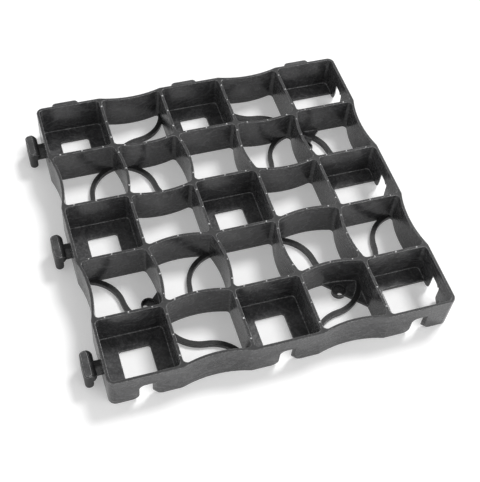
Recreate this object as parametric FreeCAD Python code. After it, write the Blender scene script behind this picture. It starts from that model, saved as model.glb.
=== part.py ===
"""Grass paver grid: one moulded square lattice of cells that hooks onto its neighbours.

Lengths are in millimetres. +Z is up, the grid lies on the floor at z = 0, and the front
edge faces -Y. The origin is the middle of the whole piece's box, hooks included.
"""
import FreeCAD
import Part
import math
import os

# Driving dimensions
CELLS = 5              # cells along each side, an odd number
PITCH = 66.0           # from one wall line to the next
HEIGHT = 38.0          # ground to the top of the walls
WALL = 3.0             # wall thickness
BOW = 5.0              # how far a curved wall bows towards the middle of the grid
OUTER_R = 7.0          # rounding of the four outer corners
CELL_R = 4.0           # rounding in the corners of each cell
FLOOR_T = 3.0          # floor plate of the straight cells
OPENING = 30.0         # square hole in a floor plate
OPENING_R = 3.0
RIB_W = 5.0            # S-shaped ribs between the floors
RIB_H = 4.3
RIB_SLOPE = 5.0        # slant of an S rib where its two arcs meet, degrees
RIB_SHIFT = 2.0        # how far that meeting point lies from the cell's middle, inwards
GUSSET = 33.0          # legs of a corner plate, from the wall lines
BOSS_D = 14.8          # cup on each corner plate
BOSS_H = 5.0
BOSS_WALL = 1.4
BOSS_FLOOR = 1.2
BOSS_ALONG = 23.3      # cup centre from the node, along the wall and away from it
BOSS_OFF = 8.3
BOSS_HOLE_D = 5.0
BOSS_HOLE_OFF = 3.4
REACH = 17.0           # how far a hook stands out from the edge of the grid
HOOK_L = 28.0          # hook head along the edge
HOOK_LIFT = 5.0        # height of a hook's foot above the ground, clear of a neighbour's floor
HOOK_SHIFT = -1.7      # from the middle of the cell, along the edge
HOOK_T = 8.2           # hook head thickness
HOOK_H = 20.0
HOOK_CHAMFER = 1.2
LEDGE_T = 3.4          # lip of the head towards the grid
LEDGE_LOW = 12.5       # these and the two heights below are above the hook's own foot
LEDGE_TOP = 16.0
STEM_W = 8.0
STEM_H = 15.5
STEM_R = 2.0           # round of the edge that would meet the round corner of a slot
SLOT_LEFT = 7.0        # slot in the edge that takes a neighbour's hook: middle to left side
SLOT_RIGHT_OUT = 8.5   # middle to right side at the outer face
SLOT_RIGHT_IN = 5.5    # and at the inner face
SLOT_H = 22.0
SLOT_TOP_R = 6.0
SLOT_LEAD_R = 7.0      # rounded lead-in at the foot of the slot
RECESS_W = 9.0         # shallow recess inside the wall, left of the slot
RECESS_DEEP = 1.2

HALF = CELLS * PITCH / 2           # middle of the grid to an outer wall line
EDGE = HALF + WALL / 2             # middle of the grid to its outer face
Z = FreeCAD.Vector(0, 0, 1)


def vec(x, y, z=0.0):
    return FreeCAD.Vector(x, y, z)


def line_at(index):
    """Place of a wall line, counted from the left or from the front."""
    return index * PITCH - HALF


def bow_of(index):
    """Signed bow of a curved wall on this line: always towards the middle."""
    return BOW if line_at(index) < 0 else -BOW


def edge_between(start, end, bow):
    """A straight edge, or an arc whose middle is moved by the vector bow."""
    if bow.Length < 1e-6:
        return Part.makeLine(start, end)
    return Part.Arc(start, (start + end) * 0.5 + bow, end).toShape()


def prism(edges, low, high):
    """A solid between two heights over a closed run of edges at z = 0."""
    face = Part.Face(Part.Wire(edges))
    face.translate(vec(0, 0, low))
    return face.extrude(vec(0, 0, high - low))


def round_uprights(solid, radius, wanted=lambda x, y: True):
    """Rounds the upright edges whose place passes the test."""
    edges = []
    for edge in solid.Edges:
        ends = [v.Point for v in edge.Vertexes]
        if len(ends) == 2 and (ends[1] - ends[0]).cross(Z).Length < 1e-6:
            if wanted(ends[0].x, ends[0].y):
                edges.append(edge)
    return solid.makeFillet(radius, edges)


def is_floored(column, row):
    """Straight cells with a floor plate stand at every second column and row."""
    return column % 2 == 0 and row % 2 == 0


def outline():
    """The whole grid as one solid block with its bowed edges and rounded corners."""
    edges = []
    for turn in range(4):
        angle = 90.0 * turn
        for column in range(CELLS):
            start = vec(line_at(column), -EDGE)
            end = vec(line_at(column + 1), -EDGE)
            if column == 0:
                start.x = -EDGE
            if column == CELLS - 1:
                end.x = EDGE
            bow = vec(0, BOW if column % 2 else 0)
            edge = edge_between(start, end, bow)
            edge.rotate(vec(0, 0), Z, angle)
            edges.append(edge)
    block = prism(Part.__sortEdges__(edges), 0, HEIGHT)
    return round_uprights(block, OUTER_R, lambda x, y: min(abs(x), abs(y)) > EDGE - 1e-3)


def pocket(column, row, inset=WALL / 2):
    """The space inside one cell, from the floor plate or the ground to above the walls."""
    left, right = line_at(column) + inset, line_at(column + 1) - inset
    front, back = line_at(row) + inset, line_at(row + 1) - inset
    corners = [vec(left, front), vec(right, front), vec(right, back), vec(left, back)]
    across = 1.0 if column % 2 else 0.0
    along = 1.0 if row % 2 else 0.0
    bows = [
        vec(0, across * bow_of(row)),
        vec(along * bow_of(column + 1), 0),
        vec(0, across * bow_of(row + 1)),
        vec(along * bow_of(column), 0),
    ]
    edges = [edge_between(corners[i], corners[(i + 1) % 4], bows[i]) for i in range(4)]
    low = FLOOR_T if is_floored(column, row) else -1.0
    return round_uprights(prism(edges, low, HEIGHT + 1.0), CELL_R)


def cell_centre(column, row):
    return vec(line_at(column) + PITCH / 2, line_at(row) + PITCH / 2)


def floor_opening(column, row):
    """The hole in a floor plate. It runs on to the wall where a slot lets a hook in."""
    c = cell_centre(column, row)
    half = OPENING / 2
    right = PITCH / 2 - WALL / 2 if column == CELLS - 1 else half
    front = PITCH / 2 - WALL / 2 if row == 0 else half
    size = (half + right, half + front, FLOOR_T + 2.0)
    block = Part.makeBox(*size, vec(c.x - half, c.y - front, -1.0))

    def on_plate(x, y):
        by_right_wall = column == CELLS - 1 and x > c.x
        by_front_wall = row == 0 and y < c.y
        return not (by_right_wall or by_front_wall)

    return round_uprights(block, OPENING_R, on_plate)


def band(start, end, centre, width, height):
    """A curved strip that follows the arc round the centre from start to end."""
    def ring_arc(offset):
        radius = (start - centre).Length
        k = (radius + offset) / radius
        ends = [centre + (start - centre) * k, centre + (end - centre) * k]
        between = (start - centre) + (end - centre)
        middle = centre + between * ((radius + offset) / between.Length)
        return ends, Part.Arc(ends[0], middle, ends[1]).toShape()

    (a, b), inner = ring_arc(-width / 2)
    (c, d), outer = ring_arc(width / 2)
    return prism([inner, Part.makeLine(b, d), outer, Part.makeLine(c, a)], 0, height)


def s_rib(corner, shift):
    """Two arcs from a cell's corner to the opposite one, meeting smoothly near its middle.

    The cell is centred on the origin, and the rib crosses its middle nearly along X.
    """
    meet = vec(0, shift)
    slant = math.radians(RIB_SLOPE) * (1 if corner.x * corner.y > 0 else -1)
    normal = vec(-math.sin(slant), math.cos(slant))
    halves = []
    for end in (corner, corner * -1.0):
        run = end - meet
        centre = meet + normal * (run.dot(run) / (2 * run.dot(normal)))
        halves.append(band(meet, end, centre, RIB_W, RIB_H))
    return halves[0].fuse(halves[1])


def turned(shape, quarter_turns):
    copy = shape.copy()
    copy.rotate(vec(0, 0), Z, 90.0 * quarter_turns)
    return copy


def rib_set():
    """Two ribs by the front edge repeated round the middle, and four ribs round the middle cell.

    Each rib is kept to its own cell, so that no end shows on the far side of a wall.
    """
    middle, half, ribs = CELLS // 2, PITCH / 2, []
    for side in (-1, 1):
        rib = s_rib(vec(side * half, half), RIB_SHIFT)
        rib.translate(cell_centre(middle + side, 0))
        rib = rib.common(pocket(middle + side, 0, inset=0.0))
        ribs += [turned(rib, turn) for turn in range(4)]
        inner = turned(s_rib(vec(-side * half, half), RIB_SHIFT), 1)
        inner.translate(cell_centre(middle + 1, middle + side))
        inner = inner.common(pocket(middle + 1, middle + side, inset=0.0))
        ribs += [inner, turned(inner, 2)]
    return ribs


def gusset_node():
    """The wall crossing next to the last column and row, where the first corner plate is."""
    place = HALF - PITCH
    return vec(place, -place)


def gusset_plate():
    """Corner plate between two walls, with the round cup's body on its free edge."""
    n = gusset_node()
    beyond = n + vec(BOW, BOW)
    run = GUSSET + 2 * BOW
    corners = [beyond, beyond + vec(-run, 0), beyond + vec(0, -run)]
    plate = prism([Part.makeLine(corners[i - 1], corners[i]) for i in range(3)], 0, FLOOR_T)
    plate = plate.common(pocket(CELLS - 2, 0, inset=0.0))
    return plate.fuse(Part.makeCylinder(BOSS_D / 2, BOSS_H, boss_centre()))


def boss_centre():
    return gusset_node() + vec(-BOSS_ALONG, -BOSS_OFF)


def cup_hollow():
    """The dish of the cup and the small drain hole near its front."""
    c = boss_centre()
    dish = Part.makeCylinder(BOSS_D / 2 - BOSS_WALL, BOSS_H, c + vec(0, 0, BOSS_FLOOR))
    hole = Part.makeCylinder(BOSS_HOLE_D / 2, BOSS_H, c + vec(0, -BOSS_HOLE_OFF, -1.0))
    return dish.fuse(hole)


def upright_box(x_low, x_high, y_half, z_high, radius):
    box = Part.makeBox(x_high - x_low, 2 * y_half, z_high, vec(x_low, -y_half, 0))
    return round_uprights(box, radius)


def hook():
    """One hook on the left edge: a round-ended head on a stem, with a lip over the slot."""
    tip = -EDGE - REACH
    head = upright_box(tip, tip + HOOK_T, HOOK_L / 2, HOOK_H, HOOK_T / 2 - 0.05)
    head = head.makeChamfer(HOOK_CHAMFER, [e for e in head.Edges if e.BoundBox.ZMin > HOOK_H - 0.1])
    lip_end = tip + HOOK_T + LEDGE_T
    profile = [
        vec(tip + HOOK_T / 2, 0, LEDGE_LOW - 2.0),
        vec(tip + HOOK_T - 0.4, 0, LEDGE_LOW - 2.0),
        vec(lip_end, 0, LEDGE_LOW),
        vec(lip_end, 0, LEDGE_TOP),
        vec(tip + HOOK_T - HOOK_CHAMFER, 0, HOOK_H - 0.6),
        vec(tip + HOOK_T / 2, 0, HOOK_H - 0.6),
    ]
    lip = Part.Face(Part.makePolygon(profile + profile[:1]))
    lip.translate(vec(0, -HOOK_L / 2, 0))
    lip = lip.extrude(vec(0, HOOK_L, 0))
    lip = lip.common(upright_box(tip, lip_end, HOOK_L / 2, HOOK_H, HOOK_T / 2 - 0.05))
    stem_start = tip + HOOK_T / 2
    stem = Part.makeBox(-EDGE + WALL / 2 - stem_start, STEM_W, STEM_H, vec(stem_start, -STEM_W / 2))
    corner = [e for e in stem.Edges if e.BoundBox.ZMin > STEM_H - 0.1 and e.BoundBox.YMax < 0]
    stem = stem.makeFillet(STEM_R, corner)
    whole = head.fuse([lip, stem])
    whole.translate(vec(0, HOOK_SHIFT, HOOK_LIFT))
    return whole


def slot_outline(right, y):
    """One side of the slot's cut: round and sharp top corners, and a wide foot."""
    left, top, r, lead = -SLOT_LEFT, SLOT_H, SLOT_TOP_R, SLOT_LEAD_R
    k = math.sqrt(0.5)

    def arc(start, mid, end):
        return Part.Arc(vec(start[0], y, start[1]), vec(mid[0], y, mid[1]), vec(end[0], y, end[1])).toShape()

    def line(start, end):
        return Part.makeLine(vec(start[0], y, start[1]), vec(end[0], y, end[1]))

    low_left, low_right = left - lead, right + lead
    return Part.Wire([
        line((low_left, -1), (low_right, -1)),
        line((low_right, -1), (low_right, 0)),
        arc((low_right, 0), (low_right - lead * k, lead - lead * k), (right, lead)),
        line((right, lead), (right, top)),
        line((right, top), (left + r, top)),
        arc((left + r, top), (left + r - r * k, top - r + r * k), (left, top - r)),
        line((left, top - r), (left, lead)),
        arc((left, lead), (low_left + lead * k, lead - lead * k), (low_left, 0)),
        line((low_left, 0), (low_left, -1)),
    ])


def slot():
    """The cut through the front wall with a splayed right side, and the recess inside it."""
    beyond = 1.0
    splay = (SLOT_RIGHT_OUT - SLOT_RIGHT_IN) / WALL * beyond
    outer = slot_outline(SLOT_RIGHT_OUT + splay, -EDGE - beyond)
    inner = slot_outline(SLOT_RIGHT_IN - splay, -EDGE + WALL + beyond)
    cut = Part.makeLoft([outer, inner], True, True)
    start = vec(-SLOT_LEFT - RECESS_W, -EDGE + WALL - RECESS_DEEP, -1.0)
    return cut.fuse(Part.makeBox(RECESS_W + 1.0, RECESS_DEEP + 1.0, SLOT_H + 1.0, start))


def edge_places():
    """Places along an edge that carry a hook or a slot: the straight cells."""
    return [cell_centre(index, 0).x for index in range(0, CELLS, 2)]


def paver_grid():
    cells = [(column, row) for column in range(CELLS) for row in range(CELLS)]
    grid = outline().cut(Part.makeCompound([pocket(*cell) for cell in cells]))
    added, taken = rib_set(), []
    added += [turned(gusset_plate(), turn) for turn in range(4)]
    taken += [turned(cup_hollow(), turn) for turn in range(4)]
    taken += [floor_opening(*cell) for cell in cells if is_floored(*cell)]
    for place in edge_places():
        left = hook()
        left.translate(vec(0, place, 0))
        added += [left, turned(left, 3)]
        front = slot()
        front.translate(vec(place, 0, 0))
        taken += [front, turned(front, 1)]
    grid = grid.fuse(added).cut(Part.makeCompound(taken)).removeSplitter()
    grid.translate(vec(REACH / 2, -REACH / 2, 0))
    return grid.Solids[0] if len(grid.Solids) == 1 else grid


os.makedirs("parts", exist_ok=True)
grid = paver_grid()
print("solids", len(grid.Solids), "valid", grid.isValid(), "volume cm3", round(grid.Volume / 1000, 1))
box = grid.optimalBoundingBox(False)
print("size mm", round(box.XLength, 2), round(box.YLength, 2), round(box.ZLength, 2))
grid.exportStep(os.path.join("parts", "paver_grid.step"))
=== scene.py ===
# %% [markdown]
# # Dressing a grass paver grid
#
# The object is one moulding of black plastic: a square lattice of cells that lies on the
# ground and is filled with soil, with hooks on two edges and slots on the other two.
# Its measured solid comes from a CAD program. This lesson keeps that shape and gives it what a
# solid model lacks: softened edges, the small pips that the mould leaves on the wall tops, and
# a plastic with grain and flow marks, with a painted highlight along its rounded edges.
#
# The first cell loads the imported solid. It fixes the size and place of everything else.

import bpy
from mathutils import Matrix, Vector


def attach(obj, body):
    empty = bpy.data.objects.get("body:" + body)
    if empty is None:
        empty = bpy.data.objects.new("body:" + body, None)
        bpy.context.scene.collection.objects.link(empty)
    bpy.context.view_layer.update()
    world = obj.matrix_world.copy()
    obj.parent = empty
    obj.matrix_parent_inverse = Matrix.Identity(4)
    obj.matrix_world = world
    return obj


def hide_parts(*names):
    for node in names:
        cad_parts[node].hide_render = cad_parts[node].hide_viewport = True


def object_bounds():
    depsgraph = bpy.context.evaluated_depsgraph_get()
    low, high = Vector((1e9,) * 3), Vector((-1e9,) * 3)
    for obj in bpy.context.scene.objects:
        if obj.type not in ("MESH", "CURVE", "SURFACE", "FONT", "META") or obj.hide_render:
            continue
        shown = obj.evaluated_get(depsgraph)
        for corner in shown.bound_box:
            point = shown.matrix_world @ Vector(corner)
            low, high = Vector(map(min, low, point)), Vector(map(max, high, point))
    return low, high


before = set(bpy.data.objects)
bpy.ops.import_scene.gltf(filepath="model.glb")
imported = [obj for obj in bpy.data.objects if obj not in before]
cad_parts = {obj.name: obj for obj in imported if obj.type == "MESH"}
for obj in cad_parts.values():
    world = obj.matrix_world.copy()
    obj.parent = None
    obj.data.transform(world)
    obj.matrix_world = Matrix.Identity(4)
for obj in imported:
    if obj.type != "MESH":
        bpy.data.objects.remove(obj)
cad_low, cad_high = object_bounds()
grid_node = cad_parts["paver_grid"]


def neat(values):
    """Numbers short enough to print."""
    return tuple(round(value, 4) for value in values)


print("solid from", neat(cad_low), "to", neat(cad_high))

# %% [markdown]
# ## The sizes that the lesson needs
#
# Blender works in metres. A lattice like this follows a few numbers: how many cells, how far
# from wall line to wall line, and how far the curved walls bow. The hooks stand out on two
# edges only, so the middle of the lattice is not the middle of the whole box. It lies half a
# hook's reach away from it, to the right and to the front.

# %% Sizes of the lattice
import math

import bmesh
import bpy
from mathutils import Matrix, Vector

MM = 0.001
CELLS = 5
PITCH = 66 * MM
BOW = 5 * MM
WALL = 3 * MM
TOP = cad_high.z
HALF = CELLS * PITCH / 2
EDGE = HALF + WALL / 2
HOOK_REACH = (cad_high.x - cad_low.x) - 2 * EDGE
MIDDLE = Vector((HOOK_REACH / 2, -HOOK_REACH / 2, 0))
print("lattice", round(2 * EDGE, 4), "m wide,", round(TOP, 4), "m high, hooks", round(HOOK_REACH, 4))

# %% [markdown]
# ## The camera
#
# The photograph looks down on the grid from the front and a little from the left. A camera
# is a place, a direction and a lens. The place is given here the way a photographer would
# say it: which point is looked at, from which compass direction, how steeply, how far away
# and with how much tilt of the camera itself. The three axes of the camera are worked out
# from those angles and put into its matrix.

# %% Set up the camera
VIEW_AZIMUTH = math.radians(-22.04)
VIEW_ELEVATION = math.radians(55.28)
VIEW_ROLL = math.radians(6.067)
VIEW_DISTANCE = 13.492 * PITCH
FRAME_WIDTH, FRAME_HEIGHT = 480, 482
FOCAL_PIXELS = 942.25
AXIS_IN_FRAME = (224.0, 260.0)      # where the lens looks straight ahead, in pixels
looked_at = MIDDLE + Vector((-0.4766 * PITCH, -1.0046 * PITCH, TOP))


def camera_matrix(target, azimuth, elevation, roll, distance):
    back = Vector((
        math.sin(azimuth) * math.cos(elevation),
        -math.cos(azimuth) * math.cos(elevation),
        math.sin(elevation),
    ))
    level = Vector((math.cos(azimuth), math.sin(azimuth), 0))
    raised = back.cross(level)
    right = level * math.cos(roll) + raised * math.sin(roll)
    up = raised * math.cos(roll) - level * math.sin(roll)
    matrix = Matrix((right, up, back)).transposed().to_4x4()
    matrix.translation = target + back * distance
    return matrix


lens = bpy.data.cameras.new("photo_lens")
lens.sensor_width = 36.0
lens.lens = lens.sensor_width * FOCAL_PIXELS / FRAME_HEIGHT
lens.shift_x = (FRAME_WIDTH / 2 - AXIS_IN_FRAME[0]) / FRAME_HEIGHT
lens.shift_y = (AXIS_IN_FRAME[1] - FRAME_HEIGHT / 2) / FRAME_HEIGHT
camera = bpy.data.objects.new("photo_camera", lens)
bpy.context.scene.collection.objects.link(camera)
camera.matrix_world = camera_matrix(
    looked_at, VIEW_AZIMUTH, VIEW_ELEVATION, VIEW_ROLL, VIEW_DISTANCE
)
bpy.context.scene.camera = camera
print("lens", round(lens.lens, 1), "mm, camera at", neat(camera.location))

# %% [markdown]
# ## Effects that both plastics share
#
# The pips on the walls are the same plastic as the walls, painted much paler as a highlight.
# An effect that two materials use is a node group, built once. Two groups are enough here. The
# first one makes flow marks: plastic that fills a mould leaves faint wavy streaks, longer along
# the wall than up it, so noise is read from coordinates that are squeezed in Z. The second one
# makes the fine matt grain of a worn steel mould as a height, and larger specks as a mask.

# %% Helpers to build a shader group
WHITE = (1, 1, 1, 1)


def new_group(name, numbers, outputs):
    group = bpy.data.node_groups.new(name, "ShaderNodeTree")
    vector = group.interface.new_socket("Vector", in_out="INPUT", socket_type="NodeSocketVector")
    vector.hide_value = True
    for label, value in numbers.items():
        socket = group.interface.new_socket(label, in_out="INPUT", socket_type="NodeSocketFloat")
        socket.default_value = value
    for label in outputs:
        group.interface.new_socket(label, in_out="OUTPUT", socket_type="NodeSocketFloat")
    return group, group.nodes.new("NodeGroupInput"), group.nodes.new("NodeGroupOutput")


def add_node(tree, kind, settings=None, inputs=None):
    """Adds a node. A value in inputs is a number, a vector or another node's output."""
    node = tree.nodes.new(kind)
    for key, value in (settings or {}).items():
        setattr(node, key, value)
    for key, value in (inputs or {}).items():
        if isinstance(value, bpy.types.NodeSocket):
            tree.links.new(value, node.inputs[key])
        else:
            node.inputs[key].default_value = value
    return node


def math_node(tree, operation, *values):
    return add_node(
        tree, "ShaderNodeMath", {"operation": operation}, dict(enumerate(values))
    ).outputs[0]


def ramp(tree, value, low, high):
    """Brings low..high to 0..1, smoothly and without going past either end."""
    node = add_node(
        tree, "ShaderNodeMapRange", {"interpolation_type": "SMOOTHSTEP"},
        {"Value": value, "From Min": low, "From Max": high},
    )
    return node.outputs["Result"]


# %% Flow marks of the melt
flow_group, flow_in, flow_out = new_group(
    "flow_marks", {"Scale": 42.0, "Squeeze": 1.7, "Waviness": 2.2}, ["Streaks", "Clouds"]
)
squeeze = add_node(flow_group, "ShaderNodeCombineXYZ", None, {"X": 1.0, "Y": 1.0})
flow_group.links.new(flow_in.outputs["Squeeze"], squeeze.inputs["Z"])
squeezed = add_node(
    flow_group, "ShaderNodeVectorMath", {"operation": "MULTIPLY"},
    {0: flow_in.outputs["Vector"], 1: squeeze.outputs[0]},
)
streaks = add_node(
    flow_group, "ShaderNodeTexNoise", None,
    {"Vector": squeezed.outputs[0], "Scale": flow_in.outputs["Scale"], "Detail": 5.0,
     "Roughness": 0.55, "Distortion": flow_in.outputs["Waviness"]},
)
clouds = add_node(
    flow_group, "ShaderNodeTexNoise", None,
    {"Vector": flow_in.outputs["Vector"], "Scale": 18.0, "Detail": 3.0, "Roughness": 0.5},
)
streak_mask = ramp(flow_group, streaks.outputs["Fac"], 0.34, 0.68)
cloud_mask = ramp(flow_group, clouds.outputs["Fac"], 0.35, 0.65)
flow_group.links.new(streak_mask, flow_out.inputs["Streaks"])
flow_group.links.new(cloud_mask, flow_out.inputs["Clouds"])
print("group", flow_group.name, "with", len(flow_group.nodes), "nodes")

# %% Fine grain of the mould
grain_group, grain_in, grain_out = new_group(
    "mould_grain", {"Scale": 1500.0}, ["Height", "Specks"]
)
pits = add_node(
    grain_group, "ShaderNodeTexNoise", None,
    {"Vector": grain_in.outputs["Vector"], "Scale": grain_in.outputs["Scale"],
     "Detail": 3.0, "Roughness": 0.6},
)
specks = add_node(
    grain_group, "ShaderNodeTexNoise", None,
    {"Vector": grain_in.outputs["Vector"], "Scale": 520.0, "Detail": 2.0, "Roughness": 0.5},
)
speck_mask = ramp(grain_group, specks.outputs["Fac"], 0.42, 0.66)
grain_group.links.new(pits.outputs["Fac"], grain_out.inputs["Height"])
grain_group.links.new(speck_mask, grain_out.inputs["Specks"])
print("group", grain_group.name, "with", len(grain_group.nodes), "nodes")

# %% [markdown]
# ## The two plastics
#
# Black plastic is never quite black. Most of what we see on it is a soft reflection of the
# surroundings, so its roughness matters as much as its colour. The flow marks change both a
# little. The rounded edges get a painted highlight: the edge faces carry an attribute, made
# further down, and the material mixes them towards a pale colour, broken up by the specks.
# The flat tops of the walls and ribs get painted shade and are more matt than the upright faces,
# and so are the hooks, their sides more than their tops. They carry a second attribute for this.

# %% How a plastic is built
CLOUD_SHARE, STREAK_SHARE, SPECK_SHARE = 0.15, 0.40, 0.45
# Painted edge highlight: between the specks it keeps this share of its strength.
HIGHLIGHT_BETWEEN_SPECKS = 0.35
# Painted shade: flat tops and hooks are darkened by up to this share.
PAINTED_SHADE_DARKENING = 0.65
DULL_ROUGHENING = 0.38
STREAK_GLOSS = (-0.05, 0.07)        # change of roughness between the streaks and on them
STREAK_RELIEF = 0.6
BUMP_STRENGTH = 0.30
BUMP_DEPTH = 0.1 * MM
SHEEN_LEVEL = 0.46
PLASTIC_IOR = 1.5


def lerp(tree, factor, low, high):
    """A number between low and high by a factor from 0 to 1."""
    return math_node(tree, "MULTIPLY_ADD", factor, high - low, low)


def plastic(name, deep, light, highlight_colour, highlight_strength, roughness):
    material = bpy.data.materials.new(name)
    material.use_nodes = True
    tree = material.node_tree
    shader = tree.nodes["Principled BSDF"]
    place = add_node(tree, "ShaderNodeTexCoord").outputs["Object"]
    flow = add_node(tree, "ShaderNodeGroup", {"node_tree": flow_group}, {"Vector": place})
    grain = add_node(tree, "ShaderNodeGroup", {"node_tree": grain_group}, {"Vector": place})
    streak_mask, cloud_mask = flow.outputs["Streaks"], flow.outputs["Clouds"]

    mottle = math_node(tree, "MULTIPLY", streak_mask, STREAK_SHARE)
    mottle = math_node(tree, "MULTIPLY_ADD", cloud_mask, CLOUD_SHARE, mottle)
    mottle = math_node(tree, "MULTIPLY_ADD", grain.outputs["Specks"], SPECK_SHARE, mottle)
    body = add_node(tree, "ShaderNodeMix", {"data_type": "RGBA"})
    tree.links.new(mottle, body.inputs["Factor"])
    body.inputs["A"].default_value = (*deep, 1)
    body.inputs["B"].default_value = (*light, 1)

    # Painted shade: the body colour is darkened on the flat tops and on the hooks.
    painted_shade_and_matt = add_node(tree, "ShaderNodeAttribute", {"attribute_name": "painted_shade_and_matt"}).outputs["Fac"]
    kept = lerp(tree, painted_shade_and_matt, 1.0, 1.0 - PAINTED_SHADE_DARKENING)
    shaded = add_node(tree, "ShaderNodeVectorMath", {"operation": "SCALE"},
                      {0: body.outputs["Result"], "Scale": kept}).outputs[0]
    # Painted highlight: the rounded edge faces are mixed towards a pale colour, broken up by the
    # specks.
    edge_highlight = add_node(tree, "ShaderNodeAttribute", {"attribute_name": "edge_highlight"}).outputs["Fac"]
    broken = lerp(tree, grain.outputs["Specks"], HIGHLIGHT_BETWEEN_SPECKS, 1.0)
    highlight_amount = math_node(tree, "MULTIPLY", edge_highlight, broken)
    highlight_amount = math_node(tree, "MULTIPLY", highlight_amount, highlight_strength)
    colour = add_node(tree, "ShaderNodeMix", {"data_type": "RGBA"})
    tree.links.new(highlight_amount, colour.inputs["Factor"])
    tree.links.new(shaded, colour.inputs["A"])
    colour.inputs["B"].default_value = (*highlight_colour, 1)
    tree.links.new(colour.outputs["Result"], shader.inputs["Base Color"])

    gloss = lerp(tree, streak_mask, roughness + STREAK_GLOSS[0], roughness + STREAK_GLOSS[1])
    dulled = math_node(tree, "MULTIPLY_ADD", painted_shade_and_matt, DULL_ROUGHENING, gloss)
    tree.links.new(dulled, shader.inputs["Roughness"])
    relief = math_node(tree, "MULTIPLY_ADD", streak_mask, STREAK_RELIEF, grain.outputs["Height"])
    bump = add_node(tree, "ShaderNodeBump", None,
                    {"Height": relief, "Strength": BUMP_STRENGTH, "Distance": BUMP_DEPTH})
    tree.links.new(bump.outputs["Normal"], shader.inputs["Normal"])
    shader.inputs["IOR"].default_value = PLASTIC_IOR
    shader.inputs["Specular IOR Level"].default_value = SHEEN_LEVEL
    return material


# %% Mix the two plastics
# The pale edge colour of the black plastic is a painted highlight.
black_plastic = plastic(
    "black_plastic", deep=(0.031, 0.031, 0.0325), light=(0.109, 0.109, 0.111),
    highlight_colour=(0.29, 0.29, 0.293), highlight_strength=0.42, roughness=0.24,
)
# The pale plastic of the pips is a painted highlight on their tips.
pip_highlight_plastic = plastic(
    "pip_highlight_plastic", deep=(0.39, 0.39, 0.392), light=(0.70, 0.70, 0.703),
    highlight_colour=(0.75, 0.75, 0.753), highlight_strength=0.0, roughness=0.35,
)
print("plastics:", black_plastic.name, pip_highlight_plastic.name)

# %% [markdown]
# ## The moulding
#
# The solid from CAD has knife-sharp edges, and no moulding has. A sharp edge catches no light,
# while a rounded one draws the thin bright line that runs along every rim in the photograph.
# The mesh is copied, and its loose triangles are welded and merged into whole faces.

# %% Weld a copy of the solid
WELD = 0.002 * MM
FLAT = math.radians(0.3)


def welded_copy(node):
    """A bmesh of the node with its corners joined and its flat triangles merged."""
    mesh = bmesh.new()
    mesh.from_mesh(node.data)
    bmesh.ops.remove_doubles(mesh, verts=mesh.verts, dist=WELD)
    bmesh.ops.dissolve_limit(mesh, angle_limit=FLAT, verts=mesh.verts, edges=mesh.edges)
    return mesh


body = welded_copy(grid_node)
edge_highlight_layer = body.faces.layers.float.new("edge_highlight")
shade_and_matt_layer = body.faces.layers.float.new("painted_shade_and_matt")
print("moulding has", len(body.faces), "faces after the merge")

# %% [markdown]
# The edges are rounded group by group, because a low rib can't take the same rounding as a
# rim. An edge is known by its height, by whether it stands out or lies in a corner, and by
# whether it is on a hook. The corner between a wall and a floor plate is filled by the same
# step, as a fillet. The new faces get a number in an attribute, which paints a pale highlight
# on them in the plastic. The tops above the floor plates and the faces of the hooks get a
# number in a second attribute, which paints shade on them and makes them more matt.

# %% Tell the edges apart
PLATE_TOP, RIB_TOP, CUP_TOP, SLOT_TOP = 3 * MM, 4.3 * MM, 5 * MM, 22 * MM
SAME_LEVEL = 0.1 * MM


def heights(edge):
    return sorted(vertex.co.z for vertex in edge.verts)


def lies_at(edge, level):
    low, high = heights(edge)
    return abs(low - level) < SAME_LEVEL and abs(high - level) < SAME_LEVEL


def stands_out(edge):
    return edge.calc_face_angle_signed(0) > 0


def on_hook(element):
    outside = EDGE + 0.05 * MM
    return all(
        v.co.x - MIDDLE.x < -outside or v.co.y - MIDDLE.y > outside for v in element.verts
    )


def is_rim(edge):
    return lies_at(edge, TOP)


def is_plate_corner(edge):
    return lies_at(edge, PLATE_TOP) and not stands_out(edge)


def is_hook_edge(edge):
    return on_hook(edge) and stands_out(edge)


def is_low_edge(edge):
    """Edges of the floor plates, the ribs and the cups."""
    levels = (PLATE_TOP, RIB_TOP, CUP_TOP)
    return stands_out(edge) and not on_hook(edge) and any(lies_at(edge, z) for z in levels)


def is_slot_edge(edge):
    low, high = heights(edge)
    return stands_out(edge) and not on_hook(edge) and low > CUP_TOP and high < SLOT_TOP + MM


# Each group: which edges, how far they are rounded, and the strength of the highlight painted on them.
EDGE_GROUPS = {
    "rims": (is_rim, 0.5 * MM, 1.0),
    "plate corners": (is_plate_corner, 0.8 * MM, 2.4),
    "hooks": (is_hook_edge, 0.35 * MM, 1.5),
    "low edges": (is_low_edge, 0.35 * MM, 0.2),
    "slots": (is_slot_edge, 0.35 * MM, 0.3),
}
print(len(EDGE_GROUPS), "groups of edges:", ", ".join(EDGE_GROUPS))

# %% Round the edges
SHARP = math.radians(40)
LEVEL_FACE = 0.99
# Painted shade and matt finish on the tops and on the sides of the hooks.
HOOK_TOP_SHADE_AND_MATT, HOOK_SIDE_SHADE_AND_MATT = 0.45, 0.85


def round_edges(mesh, belongs, rounding, highlight_value):
    sharp = [e for e in mesh.edges if e.calc_face_angle(0) > SHARP and belongs(e)]
    rounded = bmesh.ops.bevel(
        mesh, geom=sharp, offset=rounding, offset_type="OFFSET", segments=2, profile=0.5,
        affect="EDGES", clamp_overlap=False, loop_slide=True,
    )
    for face in rounded["faces"]:
        # The rounded faces carry the strength of their painted highlight.
        face[edge_highlight_layer] = highlight_value
    return len(sharp)


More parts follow.
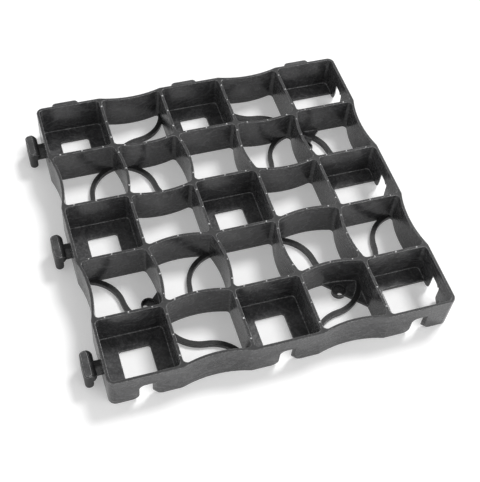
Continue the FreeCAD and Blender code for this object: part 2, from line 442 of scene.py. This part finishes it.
def shade_and_matt_amount(face):
    """How much painted shade and extra roughness a face gets."""
    level = face.normal.z > LEVEL_FACE
    if face[edge_highlight_layer] > 0:
        return 0.0
    if on_hook(face):
        return HOOK_TOP_SHADE_AND_MATT if level else HOOK_SIDE_SHADE_AND_MATT
    above_plates = face.calc_center_median().z > PLATE_TOP + 0.5 * MM
    return 1.0 if level and above_plates else 0.0


for name, (belongs, rounding, highlight_value) in EDGE_GROUPS.items():
    print(name, round_edges(body, belongs, rounding, highlight_value), "edges rounded")
body.normal_update()
# Flat tops and hooks get painted shade and a rougher surface.
for face in body.faces:
    face[shade_and_matt_layer] = shade_and_matt_amount(face)
print("now", len(body.faces), "faces")

# %% [markdown]
# Rounded corners should be shaded smoothly, but where a curved outer wall meets a straight one
# the photograph shows a faint upright line. That line is kept by marking its edge as sharp,
# though the wall turns by little there.

# %% Mark the edges that stay sharp
CREASE = math.radians(50)
KINK_LOW, KINK_HIGH = math.radians(9), math.radians(20)


def is_kink(edge):
    """A full-height edge on the outside of the lattice where the wall turns a little."""
    low, high = heights(edge)
    x, y = (abs(value) for value in (edge.verts[0].co - MIDDLE).xy)
    on_outside = max(x, y) > EDGE - MM
    return on_outside and high - low > 0.9 * TOP and KINK_LOW < edge.calc_face_angle(0) < KINK_HIGH


kinks = [edge for edge in body.edges if is_kink(edge)]
for edge in body.edges:
    edge.smooth = edge.calc_face_angle(0) < CREASE
for edge in kinks:
    edge.smooth = False
print(len(kinks), "kinks")

# %% [markdown]
# The mesh then becomes an object. A Weighted Normal modifier lets the large flat faces set
# the shading, so they stay flat right up to their rounded edges. It is applied, because a
# finished piece is a plain mesh at the origin.

# %% Make the moulding an object
def applied(obj):
    """Replaces an object's mesh by what its modifiers make of it."""
    evaluated = obj.evaluated_get(bpy.context.evaluated_depsgraph_get())
    mesh = bpy.data.meshes.new_from_object(evaluated)
    obj.modifiers.clear()
    obj.data = mesh
    return obj


def link_mesh(mesh, name, material):
    obj = bpy.data.objects.new(name, mesh)
    bpy.context.scene.collection.objects.link(obj)
    mesh.materials.clear()
    mesh.materials.append(material)
    return obj


moulding_mesh = bpy.data.meshes.new("paver_moulding")
body.to_mesh(moulding_mesh)
body.free()
moulding_mesh.polygons.foreach_set("use_smooth", [True] * len(moulding_mesh.polygons))
moulding = link_mesh(moulding_mesh, "paver_moulding", black_plastic)
weighting = moulding.modifiers.new("flat_faces_lead", "WEIGHTED_NORMAL")
weighting.keep_sharp = True
applied(moulding)
print(moulding.name, len(moulding.data.polygons), "faces")

# %% [markdown]
# ## Pips on the wall tops
#
# Each inner wall has three small round pips on its top between two crossings, left by the
# vents of the mould. They follow a rule, so Geometry Nodes place them. The tree makes points
# by number: from its number a point knows its wall line and its place along it, and on a
# curved wall the place is moved by the bow. A second set is the first one with X and Y
# swapped. Only the inner lines get pips, because the outer walls have none.

# %% Helpers to build the tree
PER_CELL = 3


def geometry_tree(name, inputs):
    tree = bpy.data.node_groups.new(name, "GeometryNodeTree")
    for label, (kind, value) in inputs.items():
        socket = tree.interface.new_socket(label, in_out="INPUT", socket_type=kind)
        if value is not None:
            socket.default_value = value
    tree.interface.new_socket("Geometry", in_out="OUTPUT", socket_type="NodeSocketGeometry")
    return tree, tree.nodes.new("NodeGroupInput").outputs, tree.nodes.new("NodeGroupOutput")


def wall_points(tree, given):
    """Where the pips stand along the inner lines: their place along and across the walls."""
    number = add_node(tree, "GeometryNodeInputIndex").outputs[0]
    per_line = math_node(tree, "MULTIPLY", given["Cells"], PER_CELL)
    step = math_node(tree, "MODULO", number, per_line)
    lines_before = math_node(tree, "FLOOR", math_node(tree, "DIVIDE", number, per_line))
    line = math_node(tree, "ADD", lines_before, 1)
    half = math_node(tree, "MULTIPLY", given["Cells"], 0.5)

    along = math_node(tree, "DIVIDE", math_node(tree, "ADD", step, 0.5), PER_CELL)
    along = math_node(tree, "MULTIPLY", math_node(tree, "SUBTRACT", along, half), given["Pitch"])
    across = math_node(tree, "MULTIPLY", math_node(tree, "SUBTRACT", line, half), given["Pitch"])

    cell = math_node(tree, "FLOOR", math_node(tree, "DIVIDE", step, PER_CELL))
    curved = math_node(tree, "MODULO", cell, 2)
    third = math_node(tree, "SUBTRACT", math_node(tree, "MODULO", step, PER_CELL), 1)
    chord = math_node(tree, "MULTIPLY", third, 2 / PER_CELL)
    rise = math_node(tree, "SUBTRACT", 1, math_node(tree, "MULTIPLY", chord, chord))
    bow = math_node(tree, "MULTIPLY", math_node(tree, "MULTIPLY", rise, curved), given["Bow"])
    inwards = math_node(tree, "MULTIPLY", math_node(tree, "SIGN", across), bow)
    return along, math_node(tree, "SUBTRACT", across, inwards)


# %% The tree of the pips
SMALLEST_PIP, LARGEST_PIP = 0.6, 1.05       # as shares of the size below
pip_tree, given, pip_out = geometry_tree("wall_pips", {
    "Cells": ("NodeSocketInt", CELLS),
    "Pitch": ("NodeSocketFloat", PITCH),
    "Bow": ("NodeSocketFloat", BOW),
    "Top": ("NodeSocketFloat", TOP),
    "Pip radius": ("NodeSocketFloat", 0.95 * MM),
    "Pip height": ("NodeSocketFloat", 0.8 * MM),
    "Centre": ("NodeSocketVector", tuple(MIDDLE)),
    "Seed": ("NodeSocketInt", 7),
    "Material": ("NodeSocketMaterial", None),
})
along, across = wall_points(pip_tree, given)
inner_lines = math_node(pip_tree, "SUBTRACT", given["Cells"], 1)
per_line = math_node(pip_tree, "MULTIPLY", given["Cells"], PER_CELL)
count = math_node(pip_tree, "MULTIPLY", inner_lines, per_line)
both = add_node(pip_tree, "GeometryNodeJoinGeometry")
for x, y in ((along, across), (across, along)):
    spot = add_node(pip_tree, "ShaderNodeCombineXYZ", None, {"X": x, "Y": y, "Z": given["Top"]})
    shifted = add_node(pip_tree, "ShaderNodeVectorMath", {"operation": "ADD"},
                       {0: spot.outputs[0], 1: given["Centre"]})
    points = add_node(pip_tree, "GeometryNodePoints", None,
                      {"Count": count, "Position": shifted.outputs[0]})
    pip_tree.links.new(points.outputs[0], both.inputs[0])
ball = add_node(pip_tree, "GeometryNodeMeshUVSphere", None,
                {"Segments": 12, "Rings": 8, "Radius": given["Pip radius"]})
flattening = math_node(pip_tree, "DIVIDE", given["Pip height"], given["Pip radius"])
squash = add_node(pip_tree, "ShaderNodeCombineXYZ", None, {"X": 1.0, "Y": 1.0, "Z": flattening})
pip_shape = add_node(pip_tree, "GeometryNodeTransform", None,
                     {"Geometry": ball.outputs[0], "Scale": squash.outputs[0]})
size = add_node(pip_tree, "FunctionNodeRandomValue", {"data_type": "FLOAT"},
                {"Min": SMALLEST_PIP, "Max": LARGEST_PIP, "Seed": given["Seed"]})
spread = add_node(pip_tree, "GeometryNodeInstanceOnPoints", None, {
    "Points": both.outputs[0], "Instance": pip_shape.outputs[0], "Scale": size.outputs["Value"],
})
real = add_node(pip_tree, "GeometryNodeRealizeInstances", None, {"Geometry": spread.outputs[0]})
smooth = add_node(pip_tree, "GeometryNodeSetShadeSmooth", None, {"Geometry": real.outputs[0]})
painted = add_node(pip_tree, "GeometryNodeSetMaterial", None,
                   {"Geometry": smooth.outputs[0], "Material": given["Material"]})
pip_tree.links.new(painted.outputs[0], pip_out.inputs[0])
print("tree", pip_tree.name, "with", len(pip_tree.nodes), "nodes")

# %% Grow the pips
def grow(name, tree, material):
    """Runs a tree on an empty mesh and returns the plain mesh that it makes as an object."""
    obj = bpy.data.objects.new(name, bpy.data.meshes.new(name))
    bpy.context.scene.collection.objects.link(obj)
    modifier = obj.modifiers.new(tree.name, "NODES")
    modifier.node_group = tree
    inputs = {s.name: s.identifier for s in tree.interface.items_tree if s.in_out == "INPUT"}
    modifier[inputs["Material"]] = material
    return applied(obj)


# The pips get the pale plastic of the painted highlight.
pips = grow("wall_pips", pip_tree, pip_highlight_plastic)
print(pips.name, len(pips.data.polygons), "faces")

# %% [markdown]
# ## Floor and light
#
# A plain pale floor and soft, even studio light show the plastic as it is. The world gives
# light from all sides, more from the walls of the room than from its ceiling. The main lamp
# stands at the back right and throws the soft shadow that falls to the front left in the
# photograph. Two wide and weaker lamps fill in from the front right and from the left. The
# floor is pale paint with a little glow that only the camera and reflections see, which
# brings its lit part to white and leaves the shadow on it.

# %% The floor
FLOOR_SIZE = 8.0
FLOOR_PAINT = 0.83
FLOOR_GLOW = 0.25
FLOOR_DROP = 0.2 * MM               # keeps the floor clear of the underside


def floor_material():
    material = bpy.data.materials.new("pale_floor")
    material.use_nodes = True
    tree = material.node_tree
    tree.nodes.clear()
    out = tree.nodes.new("ShaderNodeOutputMaterial")
    paint = add_node(tree, "ShaderNodeBsdfDiffuse", None, {"Color": (FLOOR_PAINT,) * 3 + (1,)})
    path = add_node(tree, "ShaderNodeLightPath")
    seen = math_node(tree, "MAXIMUM", path.outputs["Is Camera Ray"], path.outputs["Is Glossy Ray"])
    glow = add_node(tree, "ShaderNodeEmission", None,
                    {"Color": WHITE, "Strength": math_node(tree, "MULTIPLY", seen, FLOOR_GLOW)})
    both = add_node(tree, "ShaderNodeAddShader", None, {0: paint.outputs[0], 1: glow.outputs[0]})
    tree.links.new(both.outputs[0], out.inputs["Surface"])
    return material


floor_mesh = bpy.data.meshes.new("floor")
reach = FLOOR_SIZE / 2
floor_mesh.from_pydata(
    [(-reach, -reach, 0), (reach, -reach, 0), (reach, reach, 0), (-reach, reach, 0)], [], [(0, 1, 2, 3)]
)
floor = link_mesh(floor_mesh, "floor", floor_material())
floor.location.z = -FLOOR_DROP
print("floor", FLOOR_SIZE, "m wide")

# %% The world and the lamps
WALL_LIGHT = 0.8
CEILING_LIGHT = 0.40
# Each lamp: its strength, how wide it is in degrees, and where its light comes from.
LAMPS = {
    "main_lamp": (2.1, 18, (0.62, 0.42, 0.95)),
    "front_fill": (0.8, 50, (0.80, -0.90, 0.80)),
    "left_fill": (0.4, 60, (-1.0, -0.3, 0.6)),
}
world = bpy.data.worlds.new("soft_room")
bpy.context.scene.world = world
world.use_nodes = True
room = world.node_tree
direction = add_node(room, "ShaderNodeTexCoord").outputs["Generated"]
height = add_node(room, "ShaderNodeSeparateXYZ", None, {0: direction}).outputs["Z"]
light = lerp(room, ramp(room, height, 0.0, 0.6), WALL_LIGHT, CEILING_LIGHT)
seen = add_node(room, "ShaderNodeLightPath").outputs["Is Camera Ray"]
plain = math_node(room, "MAXIMUM", seen, light)
room.links.new(plain, room.nodes["Background"].inputs["Strength"])
room.nodes["Background"].inputs["Color"].default_value = WHITE


def sun_lamp(name, energy, spread, comes_from):
    data = bpy.data.lights.new(name, "SUN")
    data.energy = energy
    data.angle = math.radians(spread)
    lamp = bpy.data.objects.new(name, data)
    bpy.context.scene.collection.objects.link(lamp)
    lamp.rotation_mode = "QUATERNION"
    lamp.rotation_quaternion = Vector(comes_from).to_track_quat("Z", "Y")


for name, (energy, spread, comes_from) in LAMPS.items():
    sun_lamp(name, energy, spread, comes_from)
bpy.context.scene.view_settings.view_transform = "Standard"
print("walls", WALL_LIGHT, "ceiling", CEILING_LIGHT, "and", len(LAMPS), "lamps")

# %% [markdown]
# ## Put the pieces on the body
#
# Each piece rides on the one body. The rounded moulding stands for the CAD node, which is
# then hidden.

# %% Ride on the body and hide the CAD node
for piece in (moulding, pips):
    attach(piece, "root")
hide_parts("paver_grid")
